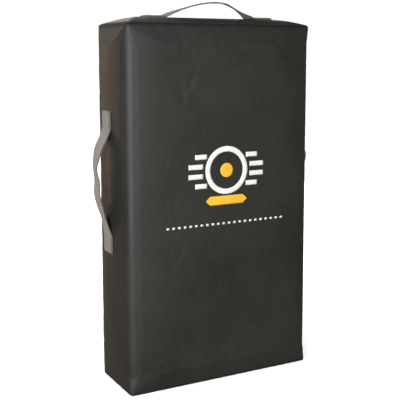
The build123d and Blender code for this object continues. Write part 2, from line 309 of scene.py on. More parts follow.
# The coating is duller in the seams, and painted shade darkens its colour to near black there.
clean_black, handled_black = (0.011, 0.0112, 0.0102), (0.018, 0.0175, 0.0155)
# Painted shade: the near-black colour that the seams are darkened to.
painted_seam_shadow_black = (0.0035,) * 3
leather, leather_tree, leather_shader = new_material("black_coated_fabric", 0.5, 0.34)
leather_marks = place_group(leather_tree, marks_tree, Patches_per_metre=7, Amount=1.0)
leather_grain = place_group(leather_tree, grain_tree, Pebbles_per_metre=760, Crease_depth=0.6)
leather_mask = leather_marks.outputs["Mask"]
leather_painted_seam_shade = add_node(leather_tree, "ShaderNodeAttribute", attribute_name="seam").outputs["Fac"]
leather_colour = mix_colours(leather_tree, leather_mask, clean_black, handled_black)
leather_gloss = vary(leather_tree, leather_mask, 0.38, 0.54)
leather_dull = math_node(leather_tree, "MULTIPLY", leather_painted_seam_shade, 0.3)
# Painted shade: the colour is mixed towards near black by the seam mask.
leather_base = mix_colours(leather_tree, leather_painted_seam_shade, leather_colour, painted_seam_shadow_black)
leather_rough = math_node(leather_tree, "ADD", leather_gloss, leather_dull)
link_all(
    leather_tree,
    (leather_base, leather_shader.inputs["Base Color"]),
    (leather_rough, leather_shader.inputs["Roughness"]),
)
raise_surface(leather_tree, leather_shader, leather_grain.outputs["Height"], 0.00012, 0.8)

leather_thickness = 0.0012
side_crown, front_crown, back_crown, top_crown = 0.008, 0.005, 0.003, 0.012
crown_spare = 0.0015
wrap_low, wrap_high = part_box("front_wrap_panel")
half_width = wrap_high.x - side_crown
half_depth = -(wrap_low.y + front_crown)
block_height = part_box("top_panel")[1].z - top_crown
inner_tape, outer_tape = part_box("zip_inner_tape"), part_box("zip_outer_tape")
zip_x = (inner_tape[1].x + outer_tape[0].x) / 2
zip_low, zip_high = inner_tape[0].z, inner_tape[1].z
slot_half = 0.005
cell = 0.0054


def stations(*stops):
    """Grid lines about one cell apart, with one on every stop."""
    lines = [stops[0]]
    for near, far in zip(stops, stops[1:]):
        count = max(1, round((far - near) / cell))
        lines += [near + (far - near) * (step + 1) / count for step in range(count)]
    return np.array(lines)


across_lines = stations(-half_width, zip_x - slot_half, zip_x + slot_half, half_width)
deep_lines = stations(-half_depth, half_depth)
up_lines = stations(0, zip_low, zip_high, block_height)
WRAP, TOP, BOTTOM, BACK_MAIN, BACK_STRIP = range(5)

box_index, box_points, box_faces, face_panels = {}, [], [], []


def box_vertex(i, j, k):
    """The vertex at a grid line of each axis, made when first asked for."""
    if (i, j, k) not in box_index:
        box_index[i, j, k] = len(box_points)
        box_points.append((across_lines[i], deep_lines[j], up_lines[k]))
    return box_index[i, j, k]


def box_side(corners, panel):
    """One grid cell of a side, as four corners in outward order."""
    box_faces.append([box_vertex(*corner) for corner in corners])
    face_panels.append(panel)


last_i, last_j, last_k = len(across_lines) - 1, len(deep_lines) - 1, len(up_lines) - 1
for i in range(last_i):
    middle_x = (across_lines[i] + across_lines[i + 1]) / 2
    for k in range(last_k):
        middle_z = (up_lines[k] + up_lines[k + 1]) / 2
        box_side([(i, 0, k), (i + 1, 0, k), (i + 1, 0, k + 1), (i, 0, k + 1)], WRAP)
        in_slot = abs(middle_x - zip_x) < slot_half and zip_low < middle_z < zip_high
        if not in_slot:
            panel = BACK_MAIN if middle_x < zip_x else BACK_STRIP
            box_side(
                [(i + 1, last_j, k), (i, last_j, k), (i, last_j, k + 1), (i + 1, last_j, k + 1)],
                panel,
            )
    for j in range(last_j):
        box_side([(i, j + 1, 0), (i + 1, j + 1, 0), (i + 1, j, 0), (i, j, 0)], BOTTOM)
        box_side(
            [(i, j, last_k), (i + 1, j, last_k), (i + 1, j + 1, last_k), (i, j + 1, last_k)], TOP
        )
for j in range(last_j):
    for k in range(last_k):
        box_side([(0, j + 1, k), (0, j, k), (0, j, k + 1), (0, j + 1, k + 1)], WRAP)
        box_side(
            [(last_i, j, k), (last_i, j + 1, k), (last_i, j + 1, k + 1), (last_i, j, k + 1)], WRAP
        )


def ease(value):
    """A smooth step from 0 to 1."""
    clipped = np.clip(value, 0, 1)
    return clipped * clipped * (3 - 2 * clipped)


def from_ends(places):
    """How far each place is from the nearer of the block's top and bottom seams."""
    return np.minimum(places[:, 2], block_height - places[:, 2])


def crown_shape(place, low, high, shoulder):
    """How far a face has risen to its crown at a place between two seams."""
    run = min(shoulder, (high - low) / 2)
    near = np.clip(np.minimum(place - low, high - place) / run, 0, 1)
    return 1 - (1 - near) ** 2


# The block: its upright front edges are soft, and sharpen to a point at the top and bottom seams.
crown_radius, seam_radius, back_radius, pinch_length, shoulder = 0.0182, 0.003, 0.0035, 0.050, 0.06
hair, slot_slack = 1e-6, 1e-4
points = np.array(box_points)
on_left, on_right = points[:, 0] <= -half_width + hair, points[:, 0] >= half_width - hair
on_front, on_back = points[:, 1] <= -half_depth + hair, points[:, 1] >= half_depth - hair
on_bottom, on_top = points[:, 2] <= hair, points[:, 2] >= block_height - hair
edge_radius = np.where(
    points[:, 1] < 0,
    seam_radius + (crown_radius - seam_radius) * ease(from_ends(points) / pinch_length),
    back_radius,
)
across_rise = crown_shape(points[:, 0], -half_width, half_width, shoulder)
deep_rise = crown_shape(points[:, 1], -half_depth, half_depth, shoulder)
up_rise = crown_shape(points[:, 2], 0, block_height, shoulder)
inner_x = np.clip(points[:, 0], -half_width + edge_radius, half_width - edge_radius)
inner_y = np.clip(points[:, 1], -half_depth + edge_radius, half_depth - edge_radius)
out_x, out_y = points[:, 0] - inner_x, points[:, 1] - inner_y
length = np.hypot(out_x, out_y)
square = np.maximum(np.abs(out_x), np.abs(out_y))
scale = np.where(length > 1e-9, square / np.maximum(length, 1e-9), 1)
shaped = points.copy()
shaped[:, 0] = inner_x + out_x * scale
shaped[:, 1] = inner_y + out_y * scale


def pillow(crown, short_rise, long_rise):
    """A face's height above its seams: the short way sets the crest, the long way ends it."""
    return np.minimum(crown * short_rise, (crown + crown_spare) * long_rise)


side_sign = on_right.astype(int) - on_left.astype(int)
shaped[:, 0] += side_sign * pillow(side_crown, deep_rise, up_rise)
shaped[:, 1] += on_back * pillow(back_crown, across_rise, up_rise)
shaped[:, 1] -= on_front * pillow(front_crown, across_rise, up_rise)
shaped[:, 2] += on_top * pillow(top_crown, deep_rise, across_rise)

cover_mesh = bpy.data.meshes.new("cover")
cover_mesh.from_pydata(shaped.tolist(), [], box_faces)
cover = place_object("cover", cover_mesh)
for polygon, panel in zip(cover_mesh.polygons, face_panels):
    polygon.material_index = panel

# The fabric is cut a little full, held along the seams and pressed out by the foam, so it settles
# into the small folds that run in from the seams and corners.
seam_line = (on_top | on_bottom | on_back) & (on_left | on_right | on_front) | (
    (on_top | on_bottom) & on_back
)
in_slot_edge = (
    on_back
    & (np.abs(points[:, 0] - zip_x) < slot_half + slot_slack)
    & (points[:, 2] > zip_low - slot_slack)
    & (points[:, 2] < zip_high + slot_slack)
)
sewn_hold, loose_hold = 1.0, 0.3
hold = cover.vertex_groups.new(name="hold")
for index, held in enumerate(seam_line | in_slot_edge):
    hold.add([index], sewn_hold if held else loose_hold, "REPLACE")


def read_points(mesh):
    """The mesh's vertices as an array."""
    flat = np.empty(len(mesh.vertices) * 3)
    mesh.vertices.foreach_get("co", flat)
    return flat.reshape(-1, 3)


def read_normals(mesh):
    """The mesh's vertex normals as an array."""
    flat = np.empty(len(mesh.vertices) * 3)
    mesh.vertex_normals.foreach_get("vector", flat)
    return flat.reshape(-1, 3)


def write_points(mesh, places):
    """Puts the vertices where an array says."""
    mesh.vertices.foreach_set("co", np.asarray(places).ravel())
    mesh.update()


def settle_fabric(piece, frames, most, give, share):
    """Runs the cloth, and takes a share of its result: out from the foam by a limit, in by less."""
    before, outward = read_points(piece.data), read_normals(piece.data)
    cloth = piece.modifiers.new("cloth", "CLOTH")
    settings = cloth.settings
    settings.quality, settings.mass = 5, 0.2
    settings.tension_stiffness, settings.compression_stiffness = 18, 18
    settings.shear_stiffness, settings.bending_stiffness = 8, 0.6
    settings.use_pressure, settings.uniform_pressure_force = True, 1.0
    settings.shrink_min, settings.vertex_group_mass = -0.008, "hold"
    settings.effector_weights.gravity = 0
    cloth.point_cache.frame_start, cloth.point_cache.frame_end = 1, frames
    for number in range(1, frames + 1):
        scene.frame_set(number)
    after = read_points(piece.evaluated_get(bpy.context.evaluated_depsgraph_get()).data)
    piece.modifiers.remove(cloth)
    scene.frame_set(1)
    move = after - before
    far = np.linalg.norm(move, axis=1, keepdims=True)
    move *= share * np.minimum(1, most / np.maximum(far, 1e-9))
    pressed = np.minimum(0, (move * outward).sum(1) + give)
    move -= outward * pressed[:, None]
    write_points(piece.data, before + move)


settle_fabric(cover, 20, most=0.003, give=0.0002, share=0.75)


@contextmanager
def opened(mesh):
    """The mesh opened for editing, and written back at the end."""
    work = bmesh.new()
    work.from_mesh(mesh)
    yield work
    work.to_mesh(mesh)
    work.free()


# Each seam is a rounded edge with the stitching pulled down in its middle.
seam_round = 0.0022
with opened(cover_mesh) as work:
    seam_edges, strip_edges = [], []
    for edge in work.edges:
        beside = {face.material_index for face in edge.link_faces}
        if beside == {BACK_MAIN, BACK_STRIP}:
            strip_edges.append(edge)
        elif len(beside) == 2:
            seam_edges.append(edge)
    seam_points = np.array([vertex.co for edge in seam_edges for vertex in edge.verts])
    strip_points = np.array([vertex.co for edge in strip_edges for vertex in edge.verts])
    bmesh.ops.bevel(
        work,
        geom=seam_edges,
        offset=seam_round,
        segments=4,
        profile=0.5,
        affect="EDGES",
        clamp_overlap=True,
    )
finer = cover.modifiers.new("finer", "SUBSURF")
finer.levels = finer.render_levels = 1


def plain_mesh(piece):
    """The piece's mesh with its modifiers applied and removed."""
    evaluated = piece.evaluated_get(bpy.context.evaluated_depsgraph_get())
    made = bpy.data.meshes.new_from_object(evaluated)
    piece.modifiers.clear()
    old = piece.data
    made.name = old.name
    piece.data = made
    bpy.data.meshes.remove(old)
    return made


def shade_smooth(mesh):
    """Smooth shading on every face."""
    mesh.polygons.foreach_set("use_smooth", [True] * len(mesh.polygons))


def nearest_distance(places, targets):
    """Each place's distance to the nearest of some targets."""
    tree = KDTree(len(targets))
    for index, target in enumerate(targets):
        tree.insert(target, index)
    tree.balance()
    return np.array([tree.find(place)[2] for place in places])


cover_mesh = plain_mesh(cover)
places, normals = read_points(cover_mesh), read_normals(cover_mesh)
seam_gap = nearest_distance(places, seam_points)
strip_gap = nearest_distance(places, strip_points)
groove_depth, groove_width = 0.0008, 0.0014
sink = groove_depth * np.exp(-((seam_gap / groove_width) ** 2))
sink += groove_depth * np.exp(-((strip_gap / groove_width) ** 2))

# Puckers: the thread gathers the fabric into short ridges that run in from each seam.
pucker_pitch, pucker_depth, pucker_reach = 0.0085, 0.00035, 0.009
pucker_crest, pucker_row, upright_reach, end_reach = 0.004, 7.3, 0.03, 0.012
by_upright = (seam_gap < upright_reach) & (from_ends(places) > end_reach)
along_seam = places[:, 0] + places[:, 1] + places[:, 2] * by_upright
wave = np.array([noise.noise(Vector((run / pucker_pitch, pucker_row, 0.0))) for run in along_seam])
sink += pucker_depth * wave * np.exp(-(((seam_gap - pucker_crest) / pucker_reach) ** 2))
write_points(cover_mesh, places - normals * sink[:, None])

# A few soft dents where the strike face has been hit and folded, each a place, a length, a width,
# a turn from upright and a depth; and a pinch beside each corner of the strike face.
dents = [
    ((-0.062, 0.505), 0.046, 0.0062, 25, 0.00050),
    ((-0.078, 0.492), 0.038, 0.0056, -12, 0.00045),
    ((-0.083, 0.225), 0.042, 0.0062, 30, 0.00045),
    ((-0.100, 0.218), 0.036, 0.0052, -8, 0.00038),
    ((0.128, 0.545), 0.045, 0.0080, -38, 0.00055),
    ((0.020, 0.560), 0.050, 0.0100, 80, 0.00045),
    ((0.090, 0.110), 0.055, 0.0100, -50, 0.00045),
]
places, normals = read_points(cover_mesh), read_normals(cover_mesh)
facing = np.clip(-normals[:, 1], 0, 1) ** 2
sink = np.zeros(len(places))
dent_curl, swell_offset, swell_share = 0.15, 1.6, 0.6
for (dent_x, dent_z), dent_length, dent_width, turn, depth in dents:
    angle = math.radians(turn)
    run = (places[:, 0] - dent_x) * math.sin(angle) + (places[:, 2] - dent_z) * math.cos(angle)
    aside = (places[:, 0] - dent_x) * math.cos(angle) - (places[:, 2] - dent_z) * math.sin(angle)
    aside = aside + dent_curl * run**2 / dent_length
    fade = np.exp(-((run / dent_length * 2) ** 2))
    swell = np.exp(-(((aside - swell_offset * dent_width) / dent_width) ** 2))
    sink += depth * fade * (np.exp(-((aside / dent_width) ** 2)) - swell_share * swell) * facing
pinch_across, pinch_up, pinch_depth, pinch_reach = 0.011, 0.006, 0.0009, 0.0045
for pinch_x in (-half_width + pinch_across, half_width - pinch_across):
    for pinch_z in (pinch_up, block_height - pinch_up):
        gap = np.linalg.norm(places - np.array([pinch_x, -half_depth, pinch_z]), axis=1)
        sink += pinch_depth * np.exp(-((gap / pinch_reach) ** 2))
write_points(cover_mesh, places - normals * sink[:, None])


def tree_of(*pieces):
    """A search tree over the surfaces of some pieces, for casting rays on them."""
    corners, sides = [], []
    for piece in pieces:
        first = len(corners)
        corners += [vertex.co.copy() for vertex in piece.data.vertices]
        sides += [[first + vertex for vertex in face.vertices] for face in piece.data.polygons]
    return BVHTree.FromPolygons(corners, sides)


# The foam fills the cover, so nowhere does the fabric lie below it.
foam_nodes = ("strike_foam_layer", "front_core_foam", "rear_core_foam", "back_foam_layer")
foam_surface = tree_of(*(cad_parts[node] for node in foam_nodes))
places, normals = read_points(cover_mesh), read_normals(cover_mesh)
look_from, fabric_clearance = 0.02, 0.0007
lift = np.zeros(len(places))
for index, (place, normal) in enumerate(zip(places, normals)):
    start, inward = Vector(place + normal * look_from), Vector(-normal)
    distance = foam_surface.ray_cast(start, inward, 2 * look_from)[3]
    if distance is not None:
        lift[index] = max(0, look_from - distance + fabric_clearance)
places = places + normals * lift[:, None]
places[:, 2] = np.maximum(places[:, 2], 0)
write_points(cover_mesh, places)
cover_surface = BVHTree.FromPolygons(
    [vertex.co for vertex in cover_mesh.vertices],
    [tuple(face.vertices) for face in cover_mesh.polygons],
)

# The panels are cut apart along the seams and given their thickness, inward.
# How far the painted shade along the seams reaches.
painted_seam_shade_width = 0.0055
panel_names = {
    WRAP: ("front_wrap", "front_wrap_panel"),
    TOP: ("top_cover", "top_panel"),
    BOTTOM: ("bottom_cover", "bottom_panel"),
    BACK_MAIN: ("back_main_cover", "back_main_panel"),
    BACK_STRIP: ("back_zip_strip_cover", "back_zip_strip"),
}
panel_index = np.array([polygon.material_index for polygon in cover_mesh.polygons])
corner_table = [tuple(polygon.vertices) for polygon in cover_mesh.polygons]
cover_places = read_points(cover_mesh)
for panel, (name, node) in panel_names.items():
    chosen = [corner_table[index] for index in np.flatnonzero(panel_index == panel)]
    used = sorted({vertex for face in chosen for vertex in face})
    renumber = {vertex: index for index, vertex in enumerate(used)}
    panel_mesh = bpy.data.meshes.new(name)
    panel_faces = [tuple(renumber[vertex] for vertex in face) for face in chosen]
    panel_mesh.from_pydata(cover_places[used].tolist(), [], panel_faces)
    shade_smooth(panel_mesh)
    # Painted shade: a mask strongest on each seam, for the material to darken the colour by.
    painted_seam_shade = np.exp(-((seam_gap[used] / painted_seam_shade_width) ** 2)).astype(np.float32)
    panel_mesh.attributes.new("seam", "FLOAT", "POINT").data.foreach_set("value", painted_seam_shade)
    panel_mesh.materials.append(leather)
    panel_piece = place_object(name, panel_mesh)
    wall = panel_piece.modifiers.new("wall", "SOLIDIFY")
    wall.thickness, wall.offset, wall.use_rim = leather_thickness, -1, True
    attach(panel_piece, "shield")
    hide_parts(node)
bpy.data.objects.remove(cover)


# ---------------------------------------------------------------- webbing handles and arm straps
# Flat woven polypropylene, 36 mm wide and grey on the handles, 50 mm and black on the arm straps.
# Each strip is sewn down flat at both ends, with its cut end turned under, and bows up between.
weave_tree, weave_in, weave_out = new_group(
    "webbing_weave",
    {"Ribs per metre": 620, "Picks per metre": 520},
    ["Height", "Shade", "Fuzz"],
)
weave_math = partial(math_node, weave_tree)
chevron_ribs, chevron_slope = 4.0, 0.75
weave_fuzz = add_node(weave_tree, "ShaderNodeTexNoise", inputs={"Scale": 900.0, "Detail": 4.0})
weave_place = place_on_object(weave_tree, weave_fuzz)
weave_split = add_node(weave_tree, "ShaderNodeSeparateXYZ")
weave_tree.links.new(weave_place.outputs["UV"], weave_split.inputs[0])
along_ribs = weave_math("MULTIPLY", weave_split.outputs["X"], weave_in.outputs["Picks per metre"])
across_ribs = weave_math("MULTIPLY", weave_split.outputs["Y"], weave_in.outputs["Ribs per metre"])
chevron = weave_math("MULTIPLY", weave_math("PINGPONG", across_ribs, chevron_ribs), chevron_slope)
twill = weave_math("ADD", along_ribs, chevron)
twill_wave = weave_math("SINE", weave_math("MULTIPLY", twill, 2 * math.pi))
rib_wave = weave_math("SINE", weave_math("MULTIPLY", across_ribs, 2 * math.pi))
weave_relief = weave_math(
    "ADD", weave_math("MULTIPLY", twill_wave, 0.35), weave_math("MULTIPLY", rib_wave, 0.22)
)
weave_shade = weave_math(
    "ADD",
    weave_math("MULTIPLY", weave_relief, 0.7),
    weave_math("MULTIPLY", weave_fuzz.outputs["Fac"], 0.6),
)
link_all(
    weave_tree,
    (weave_math("ADD", weave_relief, 0.5), weave_out.inputs["Height"]),
    (weave_fuzz.outputs["Fac"], weave_out.inputs["Fuzz"]),
    (weave_shade, weave_out.inputs["Shade"]),
)


def webbing_material(name, dark, light, edge, sheen):
    """Woven webbing: ribs in two shades, painted shade on its edges, darker ends and a soft fuzz on
    top.
    """
    material, tree, shader = new_material(name, 0.8, 0.25, Sheen_Weight=sheen)
    weave = place_group(tree, weave_tree)
    # Painted shade: a mask along the edges and cut ends that mixes in the darker edge colour.
    painted_edge_shade = add_node(tree, "ShaderNodeAttribute", attribute_name="painted_edge_shade")
    woven = mix_colours(tree, weave.outputs["Shade"], dark, light)
    gloss = (weave.outputs["Fuzz"], 0.7, 0.92)
    colour_surface(tree, shader, painted_edge_shade.outputs["Fac"], woven, edge, gloss)
    raise_surface(tree, shader, weave.outputs["Height"], 0.0005, 0.9)
    return material


# The third colour of each is its painted edge shade, also used at the cut ends.
grey_webbing = webbing_material(
    "grey_webbing", (0.112, 0.095, 0.078), (0.315, 0.274, 0.238), (0.075, 0.064, 0.053), 0.2
)
black_webbing = webbing_material("black_webbing", (0.009,) * 3, (0.036,) * 3, (0.008,) * 3, 0.15)

webbing_thickness, webbing_step, webbing_columns = 0.0022, 0.0016, 17
# Painted shade along the edges (width, fade, strength), then the width and fade of the darker cut
# ends.
painted_edge_shade_width, painted_edge_shade_fade, painted_edge_shade_strength = 0.0032, 0.0022, 0.85
cut_width, cut_fade, cut_taper, cast_height = 0.003, 0.002, 0.0016, 0.06
fold_reach, turned_under, edge_share, rim_power = 0.004, 0.45, 0.30, 14
pressed_in, least_clearance, no_ground = 0.0003, 0.0002, -0.02


def distance_along(line):
    """How far each point of a line is from its start, by its first two columns."""
    return np.concatenate([[0], np.cumsum(np.linalg.norm(np.diff(line[:, :2], axis=0), axis=1))])


def smooth_path(knots, step):
    """Points along a curve through the knots, at about equal steps along it."""
    knots = np.array(knots, float)
    padded = np.vstack([2 * knots[0] - knots[1], knots, 2 * knots[-1] - knots[-2]])
    dense = []
    for a, b, c, d in zip(padded, padded[1:], padded[2:], padded[3:]):
        bend, sway = 2 * a - 5 * b + 4 * c - d, 3 * b - a - 3 * c + d
        for t in np.linspace(0, 1, 24, endpoint=False):
            dense.append(0.5 * (2 * b + (c - a) * t + bend * t**2 + sway * t**3))
    dense.append(knots[-1])
    dense = np.array(dense)
    run = distance_along(dense)
    wanted = np.linspace(0, run[-1], max(2, round(run[-1] / step)))
    return np.column_stack([np.interp(wanted, run, column) for column in dense.T])


def strap_section(width):
    """Places across the strip, closer together towards its woven edges."""
    inner = np.linspace(-1, 1, webbing_columns) * (width / 2 - 0.0012)
    edge = width / 2 - np.array([0.0008, 0.0004, 0.00012, 0])
    return np.concatenate([-edge[::-1], inner, edge])


def make_webbing(name, origin, along, out, width, span, anchor, knots, material):
    """A strip of webbing over a face. Knots are (distance along, height of its middle, lean in
    degrees) between the two folds; the sewn ends beyond them follow the cover."""
    origin, along, out = np.array(origin), np.array(along, float), np.array(out, float)
    aside = np.cross(out, along)
    half_span = span / 2
    base = webbing_thickness / 2
    sewn_ends = [half_span, half_span + anchor / 2, half_span + anchor]
    route = [(-u, base, 0) for u in reversed(sewn_ends)] + knots + [(u, base, 0) for u in sewn_ends]
    line = smooth_path(route, webbing_step)
    across = strap_section(width)
    steps = np.gradient(line[:, :2], axis=0)
    steps /= np.linalg.norm(steps, axis=1, keepdims=True)
    top_side, low_side = [], []
    for (u, v, lean), (step_u, step_v) in zip(line, steps):
        sewn = float(ease((abs(u) - half_span + fold_reach) / (2 * fold_reach)))
        doubled = webbing_thickness * (1 + turned_under * sewn)
        tail = float(np.clip((half_span + anchor - abs(u)) / cut_taper, 0.05, 1)) ** 0.5
        tilt = math.radians(lean)
        tops, lows = [], []
        for w in across:
            rim = max(0.0, 1 - (abs(w) / (width / 2)) ** rim_power) ** 0.5
            thick = doubled * (edge_share + (1 - edge_share) * rim) * tail
            place_v, place_w = v + w * math.sin(tilt), w * math.cos(tilt)
            above = origin + along * u + aside * place_w + out * cast_height
            hit = cover_surface.ray_cast(Vector(above), Vector(-out), 2 * cast_height)[0]
            ground = float(np.dot(np.array(hit) - origin, out)) if hit else no_ground
            flat_v = ground - pressed_in + thick / 2
            floor_v = ground + thick / 2 + least_clearance
            middle_v = sewn * flat_v + (1 - sewn) * max(place_v, floor_v)
            normal = np.array([-step_v, step_u]) * (1 - sewn) + np.array([0, 1]) * sewn
            for side, store in ((1, tops), (-1, lows)):
                point = along * (u + side * normal[0] * thick / 2)
                point = point + out * (middle_v + side * normal[1] * thick / 2) + aside * place_w
                store.append(tuple(origin + point))
        top_side.append(tops)
        low_side.append(lows)
    columns, rows = len(across), len(line)
    ring = 2 * columns
    verts = [point for tops, lows in zip(top_side, low_side) for point in tops + lows[::-1]]
    faces = []
    for row in range(rows - 1):
        here, ahead = row * ring, (row + 1) * ring
        for column in range(ring):
            other = (column + 1) % ring
            faces.append((here + column, here + other, ahead + other, ahead + column))
    for here, turn in ((0, -1), ((rows - 1) * ring, 1)):
        for column in range(columns - 1):
            under = here + ring - 1 - column
            faces.append((here + column, here + column + 1, under - 1, under)[::turn])
    mesh = bpy.data.meshes.new(name)
    mesh.from_pydata(verts, [], faces)
    with opened(mesh) as work:
        bmesh.ops.recalc_face_normals(work, faces=work.faces)
    shade_smooth(mesh)
    run = distance_along(line)
    seat = np.concatenate([across, across[::-1]])
    weave_map = mesh.uv_layers.new(name="weave")
    uv = np.empty((len(mesh.loops), 2))
    corner_vertex = np.empty(len(mesh.loops), int)
    mesh.loops.foreach_get("vertex_index", corner_vertex)
    uv[:, 0] = run[corner_vertex // ring]
    uv[:, 1] = seat[corner_vertex % ring]
    weave_map.data.foreach_set("uv", uv.ravel())
    # Painted shade along the two woven edges; the cut ends are darkened as well.
    painted_edge_shade = mesh.attributes.new("painted_edge_shade", "FLOAT", "POINT")
    painted_shade_border = np.tile(ease((np.abs(seat) - (width / 2 - painted_edge_shade_width)) / painted_edge_shade_fade), rows)
    tail_gap = half_span + anchor - np.abs(line[:, 0])
    cut_end = np.repeat(ease((cut_width - tail_gap) / cut_fade), ring)
    painted_shade_border = painted_edge_shade_strength * np.maximum(painted_shade_border, cut_end)
    painted_edge_shade.data.foreach_set("value", painted_shade_border.astype(np.float32))
    mesh.materials.append(material)
    return place_object(name, mesh)


def on_face(origin, along, out, u, w, v=0.0):
    """A place on a face, from its own directions."""
    aside = np.cross(out, along)
    return np.array(origin) + np.array(along) * u + aside * w + np.array(out) * v


top_crest = block_height + top_crown
side_crest = half_width + side_crown
back_crest = half_depth + back_crown
loop_low, loop_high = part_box("left_handle_sewn_ends")
side_height, side_setback = (loop_low.z + loop_high.z) / 2, (loop_low.y + loop_high.y) / 2
top_low, top_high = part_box("top_handle_sewn_ends")
top_shift = (top_low.x + top_high.x) / 2
handle_width = top_high.y - top_low.y
side_knots = [
    (-0.070, 0.0045, -7),
    (-0.055, 0.0090, -8),
    (-0.037, 0.0145, -4.5),
    (-0.018, 0.0184, -5.5),
    (0.004, 0.0181, -8),
    (0.024, 0.0212, -12),
    (0.042, 0.0186, -6),
    (0.058, 0.0140, -2),
    (0.073, 0.0064, -1),
]
top_knots = [
    (-0.069, 0.0074, 0),
    (-0.050, 0.0137, -3),
    (-0.030, 0.0192, -4),
    (-0.012, 0.0232, -1),
    (0.006, 0.0256, 2),
    (0.028, 0.0258, 8),
    (0.043, 0.0210, 15),
    (0.060, 0.0137, 17),
    (0.074, 0.0068, 8),
]
arm_low, arm_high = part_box("upper_arm_strap_sewn_ends")
arm_middle, arm_length = (arm_low.x + arm_high.x) / 2, arm_high.x - arm_low.x
arm_width = arm_high.z - arm_low.z
arm_anchor = 0.042
arm_span = arm_length - 2 * arm_anchor
arm_knots = [
    (-0.078, 0.019, 0),
    (-0.062, 0.038, 1),
    (-0.040, 0.0525, 2),
    (-0.014, 0.0590, 1),
    (0.014, 0.0588, -1),
    (0.040, 0.0530, -2),
    (0.062, 0.0385, -1),
    (0.078, 0.0195, 0),
]
lower_arm_knots = [(u, v * 0.97, -lean) for u, v, lean in arm_knots]
right_knots = [(u, v, -lean) for u, v, lean in side_knots]
top_span, top_anchor, side_span, side_anchor = 0.169, 0.034, 0.174, 0.030
top_origin = (top_shift, 0, top_crest)
straps = [
    ("top_handle", top_origin, (1, 0, 0), (0, 0, 1), handle_width, top_span, top_anchor, top_knots)
]
for handle_name, edge, knots in (("left_handle", -1, side_knots), ("right_handle", 1, right_knots)):
    side_origin, out = (edge * side_crest, side_setback, side_height), (edge, 0, 0)
    straps.append(
        (handle_name, side_origin, (0, 0, 1), out, handle_width, side_span, side_anchor, knots)
    )
for arm_name, knots in (("upper_arm_strap", arm_knots), ("lower_arm_strap", lower_arm_knots)):
    low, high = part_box(arm_name + "_sewn_ends")
    arm_origin, out = (arm_middle, back_crest, (low.z + high.z) / 2), (0, 1, 0)
    straps.append((arm_name, arm_origin, (1, 0, 0), out, arm_width, arm_span, arm_anchor, knots))
webbing_pieces = {}
for name, origin, along, out, width, span, anchor, knots in straps:
    material = grey_webbing if "handle" in name else black_webbing
    strip = make_webbing(
        name + "_webbing", origin, along, out, width, span, anchor, knots, material
    )
    webbing_pieces[name] = strip
    bend_start, bend_end = (0.002, 0.0125) if "handle" in name else (0.003, 0.023)
    on_face(origin, along, out, 0, 0, bend_start)
    on_face(origin, along, out, 0, 0, bend_end)
    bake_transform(strip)
    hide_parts(name + "_sewn_ends", name + "_loop")
    "grey_webbing" if "handle" in name else "black_webbing"


# ---------------------------------------------------------------- stitching of the sewn ends
# Each sewn end is held by a box of bonded nylon thread with a cross in it, which pulls a little
# into the webbing. The thread is a darker grey than the handles, and black on the arm straps.
twist_tree, twist_in, twist_out = new_group(
    "thread_twist", {"Twists per metre": 1500}, ["Height", "Shade"]
)
twist_noise = add_node(twist_tree, "ShaderNodeTexNoise", inputs={"Scale": 260.0, "Detail": 3.0})
twist_wave = add_node(
    twist_tree,
    "ShaderNodeTexWave",
    bands_direction="DIAGONAL",
    inputs={"Distortion": 1.5, "Detail": 1.0},
)
place_on_object(twist_tree, twist_wave, twist_noise)
twist_mixed = math_node(twist_tree, "MULTIPLY", twist_wave.outputs["Fac"], 0.4)
twist_shade = math_node(twist_tree, "ADD", twist_mixed, twist_noise.outputs["Fac"])
link_all(
    twist_tree,
    (twist_in.outputs["Twists per metre"], twist_wave.inputs["Scale"]),
    (twist_wave.outputs["Fac"], twist_out.inputs["Height"]),
    (twist_shade, twist_out.inputs["Shade"]),
)


def thread_material(name, dark, light):
    """Bonded nylon thread: a slight shine over its twist."""
    material, tree, shader = new_material(name, 0.45, 0.5, Sheen_Weight=0.1)
    twist = place_group(tree, twist_tree, Twists_per_metre=1100)
    gloss = (twist.outputs["Height"], 0.42, 0.6)
    colour_surface(tree, shader, twist.outputs["Shade"], dark, light, gloss)
    raise_surface(tree, shader, twist.outputs["Height"], 0.00015, 0.7)
    return material


grey_thread = thread_material("grey_thread", (0.035, 0.031, 0.027), (0.12, 0.108, 0.095))
black_thread = thread_material("black_thread", (0.010,) * 3, (0.045,) * 3)


def geometry_tree(name, sizes):
    """A Geometry Nodes tree that takes a shape, some named sizes and a material."""
    tree = bpy.data.node_groups.new(name, "GeometryNodeTree")
    new_socket = tree.interface.new_socket
    new_socket("Geometry", in_out="INPUT", socket_type="NodeSocketGeometry")
    for label, value in sizes.items():
        new_socket(label, in_out="INPUT", socket_type="NodeSocketFloat").default_value = value
    new_socket("Material", in_out="INPUT", socket_type="NodeSocketMaterial")
    new_socket("Geometry", in_out="OUTPUT", socket_type="NodeSocketGeometry")
    return tree, tree.nodes.new("NodeGroupInput"), tree.nodes.new("NodeGroupOutput")


def end_tree(tree, group_in, group_out, grown):
    """Makes what a tree has grown real, gives it the material and puts it out."""
    real = add_node(tree, "GeometryNodeRealizeInstances")
    paint = add_node(tree, "GeometryNodeSetMaterial")
    link_all(
        tree,
        (grown, real.inputs["Geometry"]),
        (real.outputs["Geometry"], paint.inputs["Geometry"]),
        (group_in.outputs["Material"], paint.inputs["Material"]),
        (paint.outputs["Geometry"], group_out.inputs["Geometry"]),
    )


def grow(piece, tree, material, **sizes):
    """Puts a tree on a piece, sets its inputs and makes its result a plain mesh."""
    modifier = piece.modifiers.new(tree.name, "NODES")
    modifier.node_group = tree
    values = {label.replace("_", " "): value for label, value in sizes.items()}
    values["Material"] = material
    for item in tree.interface.items_tree:
        if item.item_type == "SOCKET" and item.in_out == "INPUT" and item.name in values:
            modifier[item.identifier] = values[item.name]
    shade_smooth(plain_mesh(piece))


